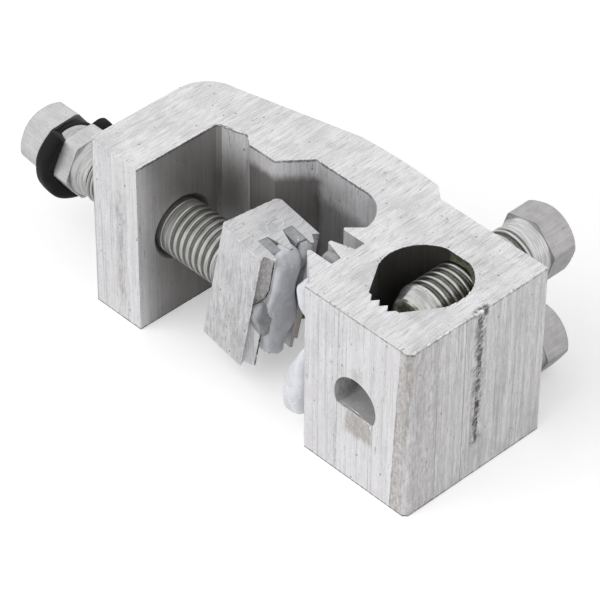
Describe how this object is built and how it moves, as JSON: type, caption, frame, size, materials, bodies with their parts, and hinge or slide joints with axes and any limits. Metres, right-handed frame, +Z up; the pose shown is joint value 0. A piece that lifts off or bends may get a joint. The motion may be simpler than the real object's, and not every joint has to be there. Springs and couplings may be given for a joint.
{
  "type": "branch connector clamp",
  "caption": "Cut length of extruded aluminium section with a toothed main conductor clamp, a ribbed branch bore, hexagon clamp bolts and contact grease.",
  "frame": {"origin": "on the sawn base face, below the axis of the main clamp bolt, in the plane where the block of the branch side meets the conductor cavity", "axes": "+Z up along the extrusion, +X along the main bolt from its heads to the block, +Y from the open front of the cavity to the back with the branch bolts"},
  "size_m": [0.1143, 0.0509, 0.04],
  "materials": {
    "extruded_aluminium": "mill finish, sawn ends, vertical extrusion lines",
    "jaw_aluminium": "mill finish, sawn ends",
    "bolt_aluminium": "turned, with drawn hexagon flats",
    "spring_steel": "bright wire",
    "black_rubber": "moulded, half matt",
    "contact_grease": "translucent wet grease"
  },
  "bodies": {
    "connector": {"connector_body": "extruded_aluminium", "body_grease": "contact_grease"},
    "jaw": {"movable_jaw": "jaw_aluminium", "jaw_grease": "contact_grease"},
    "main_bolt": {"main_clamp_bolt": "bolt_aluminium", "jaw_retaining_ring": "spring_steel", "rubber_ring": "black_rubber"},
    "upper_bolt": {"branch_bolt_upper": "bolt_aluminium"},
    "lower_bolt": {"branch_bolt_lower": "bolt_aluminium"}
  },
  "joints": [
    {"name": "jaw_slide", "type": "slide", "parent": "connector", "child": "jaw", "axis": [1, 0, 0], "range_m": [-0.0125, 0.007], "deforming": ["jaw_grease"]},
    {"name": "main_bolt_turn", "type": "hinge", "parent": "jaw", "child": "main_bolt", "pos_m": [0, 0, 0.02], "axis": [1, 0, 0], "range_deg": [-2573, 1441]},
    {"name": "upper_bolt_advance", "type": "slide", "parent": "connector", "child": "upper_bolt", "axis": [0, -1, 0], "range_m": [-0.012, 0.0038]},
    {"name": "lower_bolt_advance", "type": "slide", "parent": "connector", "child": "lower_bolt", "axis": [0, -1, 0], "range_m": [-0.012, 0.0038]}
  ],
  "couplings": [
    {"joint": "main_bolt_turn", "follows": "jaw_slide", "rad_per_m": 3590.4}
  ]
}
